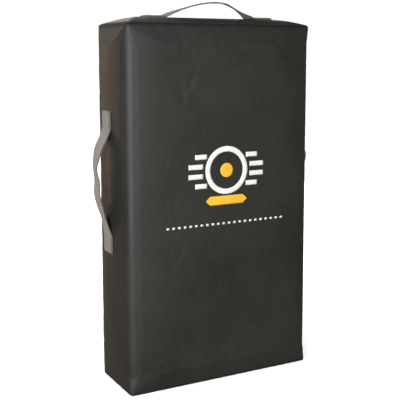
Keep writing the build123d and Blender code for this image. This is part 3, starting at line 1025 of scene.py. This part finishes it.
# A row of stitches: beads along a line, each turned a little off it at random. A bead's poles lie
# along its length: it is stretched first, and then laid over to run along X.
stitch_tree, stitch_in, stitch_out = geometry_tree(
    "stitch_row",
    {"Pitch": 0.0036, "Length": 0.0032, "Width": 0.0011, "Height": 0.0009, "Wander": 0.09},
)
stitch_curve = add_node(stitch_tree, "GeometryNodeMeshToCurve")
stitch_points = add_node(stitch_tree, "GeometryNodeCurveToPoints", mode="LENGTH")
stitch_bead = add_node(
    stitch_tree, "GeometryNodeMeshUVSphere", inputs={"Segments": 6, "Rings": 6, "Radius": 0.5}
)
stitch_size = add_node(stitch_tree, "ShaderNodeCombineXYZ")
stitch_stretch = add_node(stitch_tree, "GeometryNodeTransform")
stitch_lay = add_node(
    stitch_tree, "GeometryNodeTransform", inputs={"Rotation": (0, math.pi / 2, 0)}
)
stitch_outward = add_node(stitch_tree, "GeometryNodeInputNamedAttribute", data_type="FLOAT_VECTOR")
stitch_run = add_node(stitch_tree, "FunctionNodeAlignRotationToVector", axis="X")
stitch_up = add_node(stitch_tree, "FunctionNodeAlignRotationToVector", axis="Z", pivot_axis="X")
stitch_wander = add_node(
    stitch_tree, "FunctionNodeRandomValue", inputs={"Seed": 7}, data_type="FLOAT"
)
stitch_turn = add_node(stitch_tree, "FunctionNodeAxisAngleToRotation", inputs={"Axis": (0, 0, 1)})
stitch_twist = add_node(stitch_tree, "FunctionNodeRotateRotation", rotation_space="LOCAL")
stitch_place = add_node(stitch_tree, "GeometryNodeInstanceOnPoints")


def typed_socket(sockets, label, kind):
    """The socket of a node with this name and kind, where it has several of the name."""
    return next(socket for socket in sockets if socket.name == label and socket.type == kind)


wander = stitch_in.outputs["Wander"]
wander_back = math_node(stitch_tree, "MULTIPLY", wander, -1)
link_all(
    stitch_tree,
    (stitch_in.outputs["Geometry"], stitch_curve.inputs["Mesh"]),
    (stitch_curve.outputs["Curve"], stitch_points.inputs["Curve"]),
    (stitch_in.outputs["Pitch"], stitch_points.inputs["Length"]),
    (stitch_in.outputs["Height"], stitch_size.inputs["X"]),
    (stitch_in.outputs["Width"], stitch_size.inputs["Y"]),
    (stitch_in.outputs["Length"], stitch_size.inputs["Z"]),
    (stitch_bead.outputs["Mesh"], stitch_stretch.inputs["Geometry"]),
    (stitch_size.outputs["Vector"], stitch_stretch.inputs["Scale"]),
    (stitch_stretch.outputs["Geometry"], stitch_lay.inputs["Geometry"]),
    ("outward", stitch_outward.inputs["Name"]),
    (stitch_points.outputs["Tangent"], stitch_run.inputs["Vector"]),
    (stitch_run.outputs["Rotation"], stitch_up.inputs["Rotation"]),
    (typed_socket(stitch_outward.outputs, "Attribute", "VECTOR"), stitch_up.inputs["Vector"]),
    (wander_back, typed_socket(stitch_wander.inputs, "Min", "VALUE")),
    (wander, typed_socket(stitch_wander.inputs, "Max", "VALUE")),
    (typed_socket(stitch_wander.outputs, "Value", "VALUE"), stitch_turn.inputs["Angle"]),
    (stitch_up.outputs["Rotation"], stitch_twist.inputs["Rotation"]),
    (stitch_turn.outputs["Rotation"], stitch_twist.inputs["Rotate By"]),
    (stitch_points.outputs["Points"], stitch_place.inputs["Points"]),
    (stitch_lay.outputs["Geometry"], stitch_place.inputs["Instance"]),
    (stitch_twist.outputs["Rotation"], stitch_place.inputs["Rotation"]),
)
end_tree(stitch_tree, stitch_in, stitch_out, stitch_place.outputs["Instances"])


def sewing_route(name, lines, outward):
    """Open lines for stitches to follow, each point with its direction away from the cloth."""
    route = bpy.data.meshes.new(name)
    corners, edges = [], []
    for line in lines:
        first = len(corners)
        corners += [tuple(point) for point in line]
        edges += [(first + step, first + step + 1) for step in range(len(line) - 1)]
    route.from_pydata(corners, edges, [])
    facing = route.attributes.new("outward", "FLOAT_VECTOR", "POINT")
    facing.data.foreach_set("vector", np.tile(np.array(outward, float), len(corners)))
    return place_object(name, route)


stitch_margin, thread_sink, sewing_step, thread_cast = 0.0035, 0.0001, 0.0018, 0.05


def lay_line(start, end, land):
    """Points on a straight line in a face's own directions, each put down on the surface there."""
    steps = max(1, round(math.dist(start, end) / sewing_step))
    run_u, run_w = end[0] - start[0], end[1] - start[1]
    return [
        land(start[0] + run_u * step / steps, start[1] + run_w * step / steps)
        for step in range(steps + 1)
    ]


for name, origin, along, out, width, span, anchor, knots in straps:
    strip_surface = tree_of(webbing_pieces[name])

    def land(u, w):
        """The top of the webbing at a place."""
        start = on_face(origin, along, out, u, w, thread_cast)
        hit = strip_surface.ray_cast(Vector(start), -Vector(out), 2 * thread_cast)[0]
        return np.array(hit) - np.array(out) * thread_sink

    lines = []
    for side in (-1, 1):
        near, away = side * (span / 2 + stitch_margin), side * (span / 2 + anchor - stitch_margin)
        edge = width / 2 - stitch_margin
        corners = [(near, -edge), (away, -edge), (away, edge), (near, edge), (near, -edge)]
        crossing = [(corners[0], corners[2]), (corners[1], corners[3])]
        lines += [lay_line(a, b, land) for a, b in [*zip(corners, corners[1:]), *crossing]]
    is_handle = "handle" in name
    sewing = sewing_route(name + "_box_stitches", lines, out)
    grow(sewing, stitch_tree, grey_thread if is_handle else black_thread)
    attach(sewing, "shield")
    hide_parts(name + "_stitching")


# ---------------------------------------------------------------- zip
# A coil zip, through which the foam goes in: two woven tapes sewn under the edges of the slot, a
# spiral of nylon on each, and a die-cast slider with its pull. It is closed, slider at the foot.
tape_weave, tape_tree, tape_shader = new_material("zip_tape_weave", 0.82, 0.2, Sheen_Weight=0.15)
tape_ribs, tape_cords = (
    add_node(
        tape_tree,
        "ShaderNodeTexWave",
        inputs={"Scale": scale, "Distortion": distortion},
        bands_direction=direction,
    )
    for direction, scale, distortion in (("Z", 420.0, 0.6), ("X", 300.0, 0.4))
)
place_on_object(tape_tree, tape_ribs, tape_cords)
tape_height = math_node(tape_tree, "ADD", tape_ribs.outputs["Fac"], tape_cords.outputs["Fac"])
tape_shade = math_node(tape_tree, "MULTIPLY", tape_height, 0.5)
colour_surface(tape_tree, tape_shader, tape_shade, (0.008,) * 3, (0.03,) * 3)
raise_surface(tape_tree, tape_shader, tape_height, 0.0002, 0.8)


def give_finish(node, material):
    """A better material for a node that stays as it is."""
    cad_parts[node].data.materials.clear()
    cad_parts[node].data.materials.append(material)


for node in ("zip_inner_tape", "zip_outer_tape"):
    give_finish(node, tape_weave)

coil_nylon, nylon_tree, nylon_shader = new_material("coil_nylon", 0.35, 0.5)
nylon_scuff = place_group(nylon_tree, marks_tree, Patches_per_metre=60, Amount=1.0).outputs["Mask"]
nylon_gloss = (nylon_scuff, 0.3, 0.5)
colour_surface(
    nylon_tree, nylon_shader, nylon_scuff, (0.012,) * 3, (0.05, 0.05, 0.048), nylon_gloss
)

# Each coil: a wire wound round a straight line, a few steps to each turn.
coil_pitch, coil_steps, coil_height = 0.0014, 10, 0.0015
coil_tree, coil_in, coil_out = geometry_tree(
    "zip_coil",
    {
        "Half width": 0.0013,
        "Half height": 0.0004,
        "Wire": 0.0003,
        "Turn steps": coil_steps,
        "Start": 0,
    },
)
coil_curve = add_node(coil_tree, "GeometryNodeMeshToCurve")
coil_index = add_node(coil_tree, "GeometryNodeInputIndex")
coil_move = add_node(coil_tree, "GeometryNodeSetPosition")
coil_offset = add_node(coil_tree, "ShaderNodeCombineXYZ")
coil_section = add_node(coil_tree, "GeometryNodeCurvePrimitiveCircle", inputs={"Resolution": 5})
coil_solid = add_node(coil_tree, "GeometryNodeCurveToMesh", inputs={"Fill Caps": True})
coil_math = partial(math_node, coil_tree)
coil_turns = coil_math("DIVIDE", coil_index.outputs[0], coil_in.outputs["Turn steps"])
coil_phase = coil_math("ADD", coil_turns, coil_in.outputs["Start"])
coil_angle = coil_math("MULTIPLY", coil_phase, 2 * math.pi)
coil_across = coil_math("MULTIPLY", coil_math("COSINE", coil_angle), coil_in.outputs["Half width"])
coil_deep = coil_math("MULTIPLY", coil_math("SINE", coil_angle), coil_in.outputs["Half height"])
link_all(
    coil_tree,
    (coil_in.outputs["Geometry"], coil_curve.inputs["Mesh"]),
    (coil_curve.outputs["Curve"], coil_move.inputs["Geometry"]),
    (coil_across, coil_offset.inputs["X"]),
    (coil_deep, coil_offset.inputs["Y"]),
    (coil_offset.outputs["Vector"], coil_move.inputs["Offset"]),
    (coil_in.outputs["Wire"], coil_section.inputs["Radius"]),
    (coil_move.outputs["Geometry"], coil_solid.inputs["Curve"]),
    (coil_section.outputs["Curve"], coil_solid.inputs["Profile Curve"]),
)
end_tree(coil_tree, coil_in, coil_out, coil_solid.outputs["Mesh"])
coil_inset, coil_end, coil_cast = 0.0002, 0.0005, 0.1
for side, edge in (("inner", -1), ("outer", 1)):
    node = f"zip_{side}_coil"
    low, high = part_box(node)
    coil_nodes = tree_of(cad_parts[node])
    middle_x = (low.x + high.x) / 2
    spine = []
    for step in range(round((high.z - low.z - 2 * coil_end) / coil_pitch) * coil_steps):
        place_z = low.z + coil_end + step * coil_pitch / coil_steps
        behind = Vector((middle_x, coil_cast, place_z))
        crest = coil_nodes.ray_cast(behind, Vector((0, -1, 0)), coil_cast)[0]
        spine.append((middle_x - edge * coil_inset, crest.y - coil_height / 2, place_z))
    coil = sewing_route(f"zip_{side}_coil_turns", [spine], (0, 1, 0))
    grow(coil, coil_tree, coil_nylon, Start=0.5 if edge > 0 else 0.0)
    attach(coil, "shield")
    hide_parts(node)

zip_metal, metal_tree, metal_shader = new_material("gunmetal_casting", 0.35, 0.5, Metallic=1.0)
metal_wear = place_group(metal_tree, marks_tree, Patches_per_metre=110, Amount=1.0).outputs["Mask"]
metal_gloss = (metal_wear, 0.26, 0.48)
colour_surface(
    metal_tree, metal_shader, metal_wear, (0.10, 0.10, 0.105), (0.30, 0.29, 0.28), metal_gloss
)
metal_grain = add_node(metal_tree, "ShaderNodeTexNoise", inputs={"Scale": 2500.0, "Detail": 2.0})
place_on_object(metal_tree, metal_grain)
raise_surface(metal_tree, metal_shader, metal_grain.outputs["Fac"], 0.00004, 0.6)


flat_angle, sharp_angle = 4, 35


def softened_copy(node, name, material, edge):
    """A copy of a hard node with its corners rounded."""
    work = bmesh.new()
    work.from_mesh(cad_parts[node].data)
    bmesh.ops.remove_doubles(work, verts=work.verts, dist=hair)
    flat = math.radians(flat_angle)
    bmesh.ops.dissolve_limit(work, angle_limit=flat, verts=work.verts, edges=work.edges)
    mesh = bpy.data.meshes.new(name)
    work.to_mesh(mesh)
    work.free()
    mesh.materials.clear()
    mesh.materials.append(material)
    piece = place_object(name, mesh)
    soften = piece.modifiers.new("soften", "BEVEL")
    soften.width, soften.segments, soften.limit_method = edge, 2, "ANGLE"
    soften.angle_limit = math.radians(sharp_angle)
    soften.harden_normals = True
    shade_smooth(plain_mesh(piece))
    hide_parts(node)
    return piece


for node, name, body, edge in (
    ("zip_slider", "zip_slider_body", "zip_slider", 0.00025),
    ("zip_pull", "zip_pull_tab", "zip_pull", 0.0003),
    ("zip_top_stops", "zip_top_stop_clamps", "shield", 0.0002),
    ("zip_bottom_stop", "zip_bottom_stop_clamp", "shield", 0.0002),
):
    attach(softened_copy(node, name, zip_metal, edge), body)


# Each side of the cover is looked at from a distance outside it, and no deeper than needed.
face_view, face_cast, top_view, top_cast = 0.2, 0.3, 0.8, 0.4


def land_back(x, z):
    """The back of the cover at a place."""
    hit = cover_surface.ray_cast(Vector((x, face_view, z)), Vector((0, -1, 0)), face_cast)[0]
    return np.array(hit) - np.array((0, thread_sink, 0))


def land_top(x, y):
    """The top of the cover at a place."""
    hit = cover_surface.ray_cast(Vector((x, y, top_view)), Vector((0, 0, -1)), top_cast)[0]
    return np.array(hit) - np.array((0, 0, thread_sink))


# The seams of the top and of the back are top-stitched, just inside their edges.
seam_inset, corner_inset = 0.0036, 0.003
top_corners = (-half_width, -half_depth), (half_width, half_depth)
back_corners = (-half_width, 0.0), (half_width, block_height)
for name, land, (low, high), facing in (
    ("top_seam_stitches", land_top, top_corners, (0, 0, 1)),
    ("back_seam_stitches", land_back, back_corners, (0, 1, 0)),
):
    left, right = low[0] + seam_inset + corner_inset, high[0] - seam_inset - corner_inset
    near, far = low[1] + seam_inset, high[1] - seam_inset
    if facing[1]:
        near, far = near + corner_inset, far - corner_inset
    corners = [(left, near), (right, near), (right, far), (left, far), (left, near)]
    lines = [lay_line(a, b, land) for a, b in zip(corners, corners[1:])]
    sewing = sewing_route(name, lines, facing)
    grow(sewing, stitch_tree, black_thread, Wander=0.03, Pitch=0.0042, Length=0.0034)
    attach(sewing, "shield")

# Two straight rows hold the zip's tapes under the edges of the slot.
row_inset, row_end = 0.0004, 0.001
rows_low, rows_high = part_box("zip_stitching")
rows = [
    lay_line((x, rows_low.z + row_end), (x, rows_high.z - row_end), land_back)
    for x in (rows_low.x + row_inset, rows_high.x - row_inset)
]
zip_rows = sewing_route("zip_stitch_rows", rows, (0, 1, 0))
grow(zip_rows, stitch_tree, black_thread, Wander=0.03)
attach(zip_rows, "shield")
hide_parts("zip_stitching")


# ---------------------------------------------------------------- print on the strike face
# Heat-pressed film in white and yellow: a target ring, bars, a bullseye, a plate and a row of
# small blocks, with no lettering. It takes up the grain under it and is worn a little thin.
def film_material(name, clean, worn):
    """Heat-pressed film: the colour of its ink, with the fabric's grain in it."""
    material, tree, shader = new_material(name, 0.55, 0.35)
    wear = place_group(tree, marks_tree, Patches_per_metre=26, Amount=0.8).outputs["Mask"]
    grain = place_group(tree, grain_tree, Pebbles_per_metre=760, Crease_depth=0.6)
    colour_surface(tree, shader, wear, clean, worn, (wear, 0.48, 0.66))
    raise_surface(tree, shader, grain.outputs["Height"], 0.0001, 0.5)
    return material


film_lift, film_thickness, patch_cell, taper_steps, least_share = 0.0001, 0.0002, 0.0028, 5, 0.02


def put_print_down(x, z):
    """The strike face at a place, a little proud of it."""
    before = Vector((x, -face_view, z))
    hit, normal, _, _ = cover_surface.ray_cast(before, Vector((0, 1, 0)), face_cast)
    return hit + normal * (film_lift + film_thickness)


def printed_piece(name, node, patches, material):
    """Film pressed on the strike face. Each patch is a grid of places, as rows of (x, z)."""
    corners, sides = [], []
    for patch in patches:
        first, width = len(corners), len(patch[0])
        corners += [put_print_down(x, z) for line in patch for x, z in line]
        for row in range(len(patch) - 1):
            for column in range(width - 1):
                start = first + row * width + column
                sides.append((start, start + 1, start + width + 1, start + width))
    mesh = bpy.data.meshes.new(name)
    mesh.from_pydata(corners, [], sides)
    with opened(mesh) as work:
        bmesh.ops.remove_doubles(work, verts=work.verts, dist=2 * hair)
        bmesh.ops.dissolve_degenerate(work, edges=work.edges, dist=hair)
        for face in work.faces:
            face.normal_update()
            if face.normal.y > 0:
                face.normal_flip()
    shade_smooth(mesh)
    mesh.materials.append(material)
    piece = place_object(name, mesh)
    film = piece.modifiers.new("film", "SOLIDIFY")
    film.thickness, film.offset = film_thickness, -1
    plain_mesh(piece)
    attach(piece, "shield")
    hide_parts(node)


def round_patch(centre, inner, outer, rings, spokes):
    """A ring, or a disc when its inner radius is next to nothing."""
    across, up = centre
    turns = [2 * math.pi * spoke / spokes for spoke in range(spokes + 1)]
    return [
        [(across + radius * math.cos(turn), up + radius * math.sin(turn)) for turn in turns]
        for radius in np.linspace(inner, outer, rings + 1)
    ]


def straight_patch(left, right, low, high, point=0.0):
    """A bar. With a point, its two ends taper to the middle of its height over that length."""
    columns = max(2, round((right - left) / patch_cell))
    rows_up = max(2, round((high - low) / patch_cell))
    middle_z, half = (low + high) / 2, (high - low) / 2
    places_x = np.linspace(left, right, columns + 1)
    if point:
        inner_places = np.linspace(left + point, right - point, columns + 1)
        ramps = np.linspace(0, point, taper_steps + 1)
        places_x = np.concatenate([left + ramps[:-1], inner_places, right - ramps[-2::-1]])
    grid = []
    for share in np.linspace(-1, 1, rows_up + 1):
        line = []
        for x in places_x:
            taper = 1.0
            if point:
                taper = max(least_share, min(1.0, min(x - left, right - x) / point))
            line.append((x, middle_z + share * half * taper))
        grid.append(line)
    return grid


ring_radius, ring_width, bullseye_radius = 0.040, 0.009, 0.012
bar_rows, bar_height, bar_pitch, bar_reach, bar_step, bar_gap = 4, 0.008, 0.016, 0.077, 0.012, 0.005
plate_width, plate_height, plate_drop = 0.078, 0.015, 0.050
tick_count, tick_width, tick_height, tick_row_width, tick_drop = 22, 0.005, 0.0035, 0.222, 0.089
white_low, white_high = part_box("white_print")
print_x, print_z = (white_low.x + white_high.x) / 2, white_high.z - ring_radius
white_patches = [round_patch((print_x, print_z), ring_radius - ring_width, ring_radius, 4, 96)]
for row in range(bar_rows):
    from_middle = row - (bar_rows - 1) / 2
    rise = from_middle * bar_pitch
    near = math.sqrt(max(ring_radius**2 - rise**2, 0)) + bar_gap
    away = bar_reach - abs(from_middle) * bar_step
    for edge in (-1, 1):
        left, right = sorted((print_x + edge * near, print_x + edge * away))
        low, high = print_z + rise - bar_height / 2, print_z + rise + bar_height / 2
        white_patches.append(straight_patch(left, right, low, high))
tick_pitch = (tick_row_width - tick_width) / (tick_count - 1)
for index in range(tick_count):
    left = print_x - tick_row_width / 2 + index * tick_pitch
    low = print_z - tick_drop - tick_height / 2
    white_patches.append(straight_patch(left, left + tick_width, low, low + tick_height))
white_film = film_material("white_film", (0.78, 0.78, 0.77), (0.62, 0.62, 0.60))
printed_piece("white_target_print", "white_print", white_patches, white_film)
yellow_film = film_material("yellow_film", (0.86, 0.47, 0.02), (0.66, 0.36, 0.03))
plate_z = print_z - plate_drop
plate_ends = (print_x - plate_width / 2, print_x + plate_width / 2)
plate_edges = (plate_z - plate_height / 2, plate_z + plate_height / 2)
yellow_patches = [
    round_patch((print_x, print_z), 0.0001, bullseye_radius, 6, 48),
    straight_patch(*plate_ends, *plate_edges, point=plate_height / 2),
]
printed_piece("yellow_target_print", "yellow_print", yellow_patches, yellow_film)


# ---------------------------------------------------------------- inside the cover
# Bonded layers of closed-cell foam, dense behind the strike face and the back and softer between,
# and the woven patches behind each sewn end. They show only when the zip is open.
cells_tree, cells_in, cells_out = new_group(
    "foam_cells", {"Cells per metre": 900}, ["Height", "Shade"]
)
cells_pits = add_node(cells_tree, "ShaderNodeTexVoronoi")
cells_cloud = add_node(cells_tree, "ShaderNodeTexNoise", inputs={"Scale": 40.0, "Detail": 4.0})
place_on_object(cells_tree, cells_pits, cells_cloud)
link_all(
    cells_tree,
    (cells_in.outputs["Cells per metre"], cells_pits.inputs["Scale"]),
    (cells_pits.outputs["Distance"], cells_out.inputs["Height"]),
    (cells_cloud.outputs["Fac"], cells_out.inputs["Shade"]),
)


def foam_material(name, dark, light, cells):
    """Closed-cell foam: fine pits in a slightly uneven colour."""
    material, tree, shader = new_material(name, 0.9, 0.2)
    pits = place_group(tree, cells_tree, Cells_per_metre=cells)
    gloss = (pits.outputs["Height"], 0.95, 0.8)
    colour_surface(tree, shader, pits.outputs["Shade"], dark, light, gloss)
    raise_surface(tree, shader, pits.outputs["Height"], 0.0005, 0.8)
    return material


dense_foam = foam_material("dense_foam_cells", (0.05, 0.06, 0.075), (0.09, 0.10, 0.12), 1300)
core_foam = foam_material("core_foam_cells", (0.42, 0.42, 0.40), (0.58, 0.57, 0.54), 800)
patch_weave, patch_tree, patch_shader = new_material("backing_cloth", 0.9, 0.2)
patch_checks = add_node(
    patch_tree, "ShaderNodeTexVoronoi", inputs={"Scale": 650.0, "Randomness": 0.15}
)
place_on_object(patch_tree, patch_checks)
patch_gap = patch_checks.outputs["Distance"]
colour_surface(patch_tree, patch_shader, patch_gap, (0.20, 0.19, 0.17), (0.36, 0.34, 0.31))
raise_surface(patch_tree, patch_shader, patch_gap, 0.0004, 0.8)
inside = {
    dense_foam: ["strike_foam_layer", "back_foam_layer"],
    core_foam: ["front_core_foam", "rear_core_foam"],
    patch_weave: [name + "_backing_patches" for name, *_ in straps],
}
for material, nodes in inside.items():
    for node in nodes:
        give_finish(node, material)
